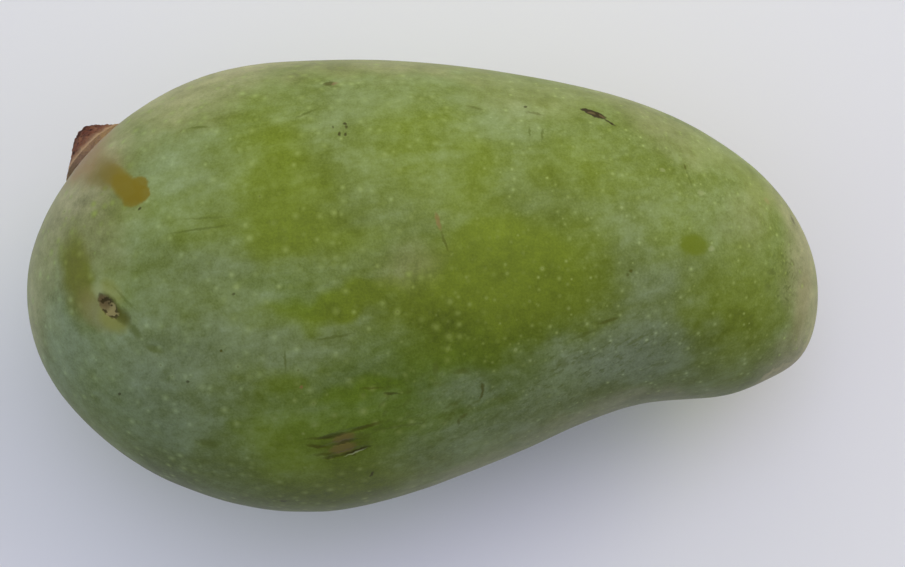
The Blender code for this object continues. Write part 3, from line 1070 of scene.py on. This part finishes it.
    # Bloom is duller than bare skin.
    smoothest = skin["roughness"] - skin["grainRoughness"] / 2
    worn = calc(tree, "MULTIPLY_ADD", bloom, skin["bloomRoughness"], smoothest)
    worn = calc(tree, "MULTIPLY_ADD", uneven["Coarse"], skin["grainRoughness"], worn)
    wire(tree, shader.inputs["Roughness"], worn)
    shader.inputs["Specular IOR Level"].default_value = skin["specular"]
    shader.inputs["Sheen Weight"].default_value = skin["sheen"]
    shader.inputs["Sheen Roughness"].default_value = skin["sheenRoughness"]
    shader.inputs["Sheen Tint"].default_value = (*skin["sheenTint"], 1)
    return material


# The stub's dry wood

wood = {
    "colour": (0.125, 0.042, 0.026),
    "dark": (0.026, 0.010, 0.008),
    "pale": (0.190, 0.085, 0.050),
    "collar": (0.300, 0.185, 0.108),
    # palest at the very foot: painted light over the shade where the fruit's shoulder hides the stub
    "foot": (0.440, 0.300, 0.172),
    "paleLimits": (0.42, 0.7),
    "fibreSqueeze": (1.0, 1.0, 0.18),
    "fibreSize": 0.4,
    "fibreLimits": (0.5, 0.72),
    "fibreShare": 0.6,
    "pitSize": 0.7,
    "pitLimits": (0.62, 0.7),
    "pitShare": 0.85,
    "barkGrain": (0.8, 0.45),
    "collarGrain": 1.2,  # millimetres by which the grain shifts its edge
    "collarLimits": (2.7, 0.5),  # heights above the foot where it ends and where it is full
    "collarShare": 0.85,
    "footGrain": 0.8,
    "footLimits": (1.5, 0.5),
    "footShare": 0.6,
    "levelGrain": (0.5, 0.75),
    "fibreBump": 0.8,
    "pitBump": -0.8,
    "bumpStrength": 0.8,
    "bumpDistance": 0.25,
    "roughness": 0.85,
    "grainRoughness": 0.16,
    "specular": 0.12,
}


def makeWood():
    material, tree, shader = newMaterial("dry stem")
    place = readMap(tree, "fibrePlace", "Vector")
    uneven = useGroup(tree, grain, Place=place)
    fibrePlace = vectorCalc(tree, "MULTIPLY", place, wood["fibreSqueeze"])
    fibres = noise(tree, fibrePlace, wood["fibreSize"], 2.0, 0.65)
    colour = blend(tree, ramp(tree, uneven["Coarse"], *wood["paleLimits"]), wood["colour"], wood["pale"])
    climb = component(tree, place, "Z")

    # Dark fibres, pits and what is left of the bark, with painted shade down the two flanks.
    dark = calc(tree, "MULTIPLY", ramp(tree, fibres, *wood["fibreLimits"]), wood["fibreShare"])
    colour = blend(tree, dark, colour, wood["dark"])
    pits = ramp(tree, noise(tree, place, wood["pitSize"], 1.0, 0.5), *wood["pitLimits"])
    colour = blend(tree, calc(tree, "MULTIPLY", pits, wood["pitShare"]), colour, wood["dark"])
    # the bark map also holds the painted shade down the flanks
    bark = readMap(tree, "bark")
    patchy = calc(tree, "MULTIPLY_ADD", uneven["Coarse"], *wood["barkGrain"])
    colour = blend(tree, calc(tree, "MULTIPLY", bark, patchy, clamp=True), colour, wood["dark"])

    # Paler towards the foot, in two uneven steps: the collar is the stem's own paler wood, and the last
    # step at the very foot is painted light over the shade in the pit round the stem.
    for step in ("collar", "foot"):
        edge = calc(tree, "MULTIPLY_ADD", uneven["Coarse"], wood[step + "Grain"], climb)
        share = calc(tree, "MULTIPLY", ramp(tree, edge, *wood[step + "Limits"]), wood[step + "Share"])
        colour = blend(tree, share, colour, wood[step])
    level = calc(tree, "MULTIPLY_ADD", uneven["Fine"], *wood["levelGrain"])
    colour = blend(tree, 1.0, colour, tone(tree, level), "MULTIPLY")
    wire(tree, shader.inputs["Base Color"], colour)

    height = calc(tree, "MULTIPLY_ADD", fibres, wood["fibreBump"], uneven["Fine"])
    height = calc(tree, "MULTIPLY_ADD", pits, wood["pitBump"], height)
    bumped(tree, shader, height, wood["bumpStrength"], wood["bumpDistance"])
    smoothest = wood["roughness"] - wood["grainRoughness"] / 2
    worn = calc(tree, "MULTIPLY_ADD", uneven["Coarse"], wood["grainRoughness"], smoothest)
    wire(tree, shader.inputs["Roughness"], worn)
    shader.inputs["Specular IOR Level"].default_value = wood["specular"]
    return material


# Floor, light and camera

studio = {
    "floorSize": 3.0,  # metres from the middle to an edge
    "floorColour": (0.8, 0.8, 0.8),
    "floorRoughness": 0.9,
    "cameraPlace": (4.17, 0.41, 361.0),
    "focalPixels": 1971.0,
    "imageWidth": 905,
    "sensorWidth": 36,
    "clipStart": 0.01,
    "skyBehind": (1.126, 1.077, 0.746),  # towards +Y, the top of the picture
    "skyFront": (0.0, 0.0, 0.038),
    "skyLeft": (0.0, 0.055, 0.337),
    "panelDistance": 1.2,
    "panelSize": 0.7,
    "panels": (  # azimuth, elevation and watts for red, green and blue
        (0, 20, (1.94, 1.96, 3.26)),
        (45, 20, (3.24, 3.71, 0.31)),
        (45, 45, (1.64, 1.17, 2.10)),
        (90, 70, (1.72, 1.74, 3.13)),
        (180, 20, (1.51, 1.99, 1.41)),
    ),
}


def makeFloor():
    material, _, shader = newMaterial("pale paper")
    shader.inputs["Base Color"].default_value = (*studio["floorColour"], 1)
    shader.inputs["Roughness"].default_value = studio["floorRoughness"]
    size = studio["floorSize"]
    mesh = bpy.data.meshes.new("floor")
    corners = [(-size, -size, 0), (size, -size, 0), (size, size, 0), (-size, size, 0)]
    mesh.from_pydata(corners, [], [(0, 1, 2, 3)])
    mesh.materials.append(material)
    floor = newObject("floor", mesh)


def makeCamera():
    data = bpy.data.cameras.new("camera")
    data.sensor_width = studio["sensorWidth"]
    data.lens = studio["focalPixels"] * data.sensor_width / studio["imageWidth"]
    data.clip_start = studio["clipStart"]
    camera = newObject("camera", data)
    camera.location = [value * mm for value in studio["cameraPlace"]]
    bpy.context.scene.camera = camera


def makeWorld():
    # Each side of the sky fades in with (1 + direction) / 2.
    world = bpy.data.worlds.new("studio")
    world.use_nodes = True
    tree = world.node_tree
    heading = tree.nodes.new("ShaderNodeTexCoord").outputs["Generated"]
    behind = calc(tree, "MULTIPLY_ADD", vectorCalc(tree, "DOT_PRODUCT", heading, (0.0, 1.0, 0.0)), 0.5, 0.5)
    left = calc(tree, "MULTIPLY_ADD", vectorCalc(tree, "DOT_PRODUCT", heading, (-1.0, 0.0, 0.0)), 0.5, 0.5)
    colour = blend(tree, behind, studio["skyFront"], studio["skyBehind"])
    side = blend(tree, left, (0.0, 0.0, 0.0), studio["skyLeft"])
    wire(tree, tree.nodes["Background"].inputs["Color"], blend(tree, 1.0, colour, side, "ADD"))
    bpy.context.scene.world = world


def makePanels():
    for azimuth, elevation, power in studio["panels"]:
        name = f"panel {azimuth} {elevation}"
        data = bpy.data.lights.new(name, "AREA")
        data.shape = "DISK"
        data.size = studio["panelSize"]
        data.energy = max(power)
        data.color = [value / max(power) for value in power]
        across, up = math.radians(azimuth), math.radians(elevation)
        away = Vector((math.cos(up) * math.cos(across), math.cos(up) * math.sin(across), math.sin(up)))
        panel = newObject(name, data)
        panel.location = away * studio["panelDistance"]
        panel.rotation_euler = (-away).to_track_quat("-Z", "Y").to_euler()


fruit, shift = makeMango()
fruit.data.materials.append(makeSkin(pointsOf(fruit)))
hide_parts("fruit")
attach(fruit, "root")
print("mango", len(fruit.data.polygons), "faces, moved by", shift.round(3))
print("skin", len(spots), "spots and", len(strokes), "strokes")

stem = makeStub(shift)
stem.data.materials.append(makeWood())
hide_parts("stem")
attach(stem, "root")
print("stem", len(stem.data.polygons), "faces")

makeFloor()
makeCamera()
makeWorld()
makePanels()
print("studio", len(studio["panels"]), "panels")
bpy.context.scene.view_settings.view_transform = "Standard"
